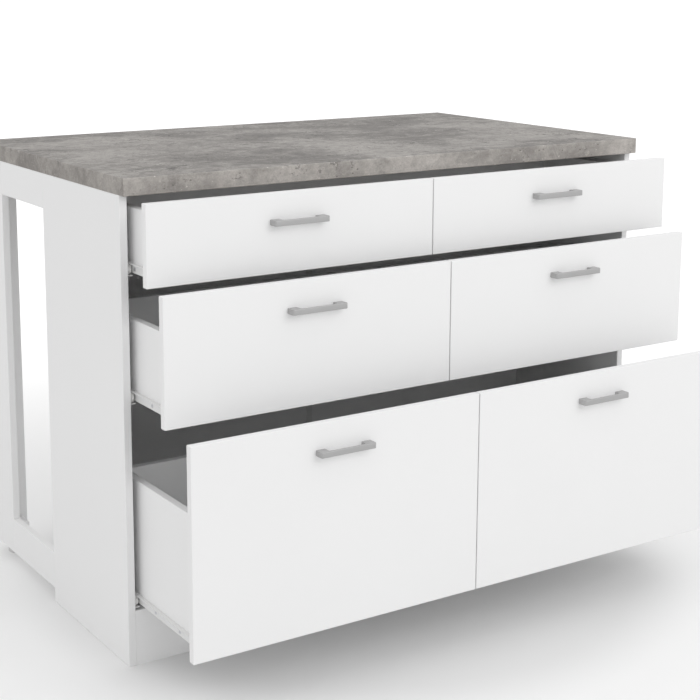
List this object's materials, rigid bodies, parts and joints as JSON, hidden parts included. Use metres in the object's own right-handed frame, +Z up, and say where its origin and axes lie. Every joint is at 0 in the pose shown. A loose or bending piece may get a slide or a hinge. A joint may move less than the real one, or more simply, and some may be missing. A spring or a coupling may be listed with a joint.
{
  "type": "kitchen island unit",
  "caption": "White kitchen island with wide drawers on roller runners, a grey stone-look worktop and an open frame at each end under the overhang.",
  "frame": {"origin": "on the floor at mid width, in the plane of the front edges of the side panels and the plinth", "axes": "+X to the right as seen from the drawers, +Y to the back, +Z up"},
  "size_m": [1.22, 0.977, 0.92],
  "materials": {
    "worktop_laminate": "matt stone-look laminate",
    "white_board": "matt white coating",
    "white_plastic": "satin",
    "bare_wood": "bare",
    "foot_plastic": "satin",
    "coated_steel": "satin white",
    "roller_nylon": "satin",
    "handle_metal": "satin",
    "screw_steel": "zinc plated"
  },
  "bodies": {
    "carcass": {"worktop": "worktop_laminate", "side_left": "white_board", "side_right": "white_board", "bottom_panel": "white_board", "plinth": "white_board", "back_left": "white_board", "back_right": "white_board", "back_joiner": "white_plastic", "frame_top_rail_left": "white_board", "frame_top_rail_right": "white_board", "frame_bottom_rail_left": "white_board", "frame_bottom_rail_right": "white_board", "leg_left": "white_board", "leg_right": "white_board", "leg_return_left": "white_board", "leg_return_right": "white_board", "leg_blocks": "white_board", "leg_feet": "foot_plastic", "worktop_brackets": "screw_steel", "dowels": "bare_wood", "carcass_runners": "coated_steel"},
    "top_drawer": {"drawer_1_front_left": "white_board", "drawer_1_front_right": "white_board", "drawer_1_handles": "handle_metal", "drawer_1_side_left": "white_board", "drawer_1_side_right": "white_board", "drawer_1_inner_front": "white_board", "drawer_1_back": "white_board", "drawer_1_bottom_panels": "white_board", "drawer_1_centre_strip": "white_plastic", "drawer_1_runners": "coated_steel", "drawer_1_screws": "screw_steel"},
    "top_back_rollers": {"drawer_1_rollers": "roller_nylon"},
    "top_front_rollers": {"carcass_rollers_1": "roller_nylon"},
    "middle_drawer": {"drawer_2_front_left": "white_board", "drawer_2_front_right": "white_board", "drawer_2_handles": "handle_metal", "drawer_2_side_left": "white_board", "drawer_2_side_right": "white_board", "drawer_2_inner_front": "white_board", "drawer_2_back": "white_board", "drawer_2_bottom_panels": "white_board", "drawer_2_centre_strip": "white_plastic", "drawer_2_runners": "coated_steel", "drawer_2_screws": "screw_steel"},
    "middle_back_rollers": {"drawer_2_rollers": "roller_nylon"},
    "middle_front_rollers": {"carcass_rollers_2": "roller_nylon"},
    "bottom_drawer": {"drawer_3_front_left": "white_board", "drawer_3_front_right": "white_board", "drawer_3_handles": "handle_metal", "drawer_3_side_left": "white_board", "drawer_3_side_right": "white_board", "drawer_3_inner_front": "white_board", "drawer_3_back": "white_board", "drawer_3_bottom_panels": "white_board", "drawer_3_centre_strip": "white_plastic", "drawer_3_runners": "coated_steel", "drawer_3_screws": "screw_steel"},
    "bottom_back_rollers": {"drawer_3_rollers": "roller_nylon"},
    "bottom_front_rollers": {"carcass_rollers_3": "roller_nylon"}
  },
  "joints": [
    {"name": "top_drawer_slide", "type": "slide", "parent": "carcass", "child": "top_drawer", "axis": [0, -1, 0], "range_m": [-0.089, 0.16]},
    {"name": "top_back_rollers_turn", "type": "hinge", "parent": "top_drawer", "child": "top_back_rollers", "pos_m": [0, 0.225, 0.7535], "axis": [1, 0, 0], "continuous": true},
    {"name": "top_front_rollers_turn", "type": "hinge", "parent": "carcass", "child": "top_front_rollers", "pos_m": [0, 0.014, 0.7525], "axis": [1, 0, 0], "continuous": true},
    {"name": "middle_drawer_slide", "type": "slide", "parent": "carcass", "child": "middle_drawer", "axis": [0, -1, 0], "range_m": [-0.149, 0.1]},
    {"name": "middle_back_rollers_turn", "type": "hinge", "parent": "middle_drawer", "child": "middle_back_rollers", "pos_m": [0, 0.165, 0.5165], "axis": [1, 0, 0], "continuous": true},
    {"name": "middle_front_rollers_turn", "type": "hinge", "parent": "carcass", "child": "middle_front_rollers", "pos_m": [0, 0.014, 0.5155], "axis": [1, 0, 0], "continuous": true},
    {"name": "bottom_drawer_slide", "type": "slide", "parent": "carcass", "child": "bottom_drawer", "axis": [0, -1, 0], "range_m": [-0.243, 0.006]},
    {"name": "bottom_back_rollers_turn", "type": "hinge", "parent": "bottom_drawer", "child": "bottom_back_rollers", "pos_m": [0, 0.071, 0.1255], "axis": [1, 0, 0], "continuous": true},
    {"name": "bottom_front_rollers_turn", "type": "hinge", "parent": "carcass", "child": "bottom_front_rollers", "pos_m": [0, 0.014, 0.1245], "axis": [1, 0, 0], "continuous": true}
  ],
  "couplings": [
    {"joint": "top_back_rollers_turn", "follows": "top_drawer_slide", "rad_per_m": 90.909},
    {"joint": "top_front_rollers_turn", "follows": "top_drawer_slide", "rad_per_m": 100},
    {"joint": "middle_back_rollers_turn", "follows": "middle_drawer_slide", "rad_per_m": 90.909},
    {"joint": "middle_front_rollers_turn", "follows": "middle_drawer_slide", "rad_per_m": 100},
    {"joint": "bottom_back_rollers_turn", "follows": "bottom_drawer_slide", "rad_per_m": 90.909},
    {"joint": "bottom_front_rollers_turn", "follows": "bottom_drawer_slide", "rad_per_m": 100}
  ]
}
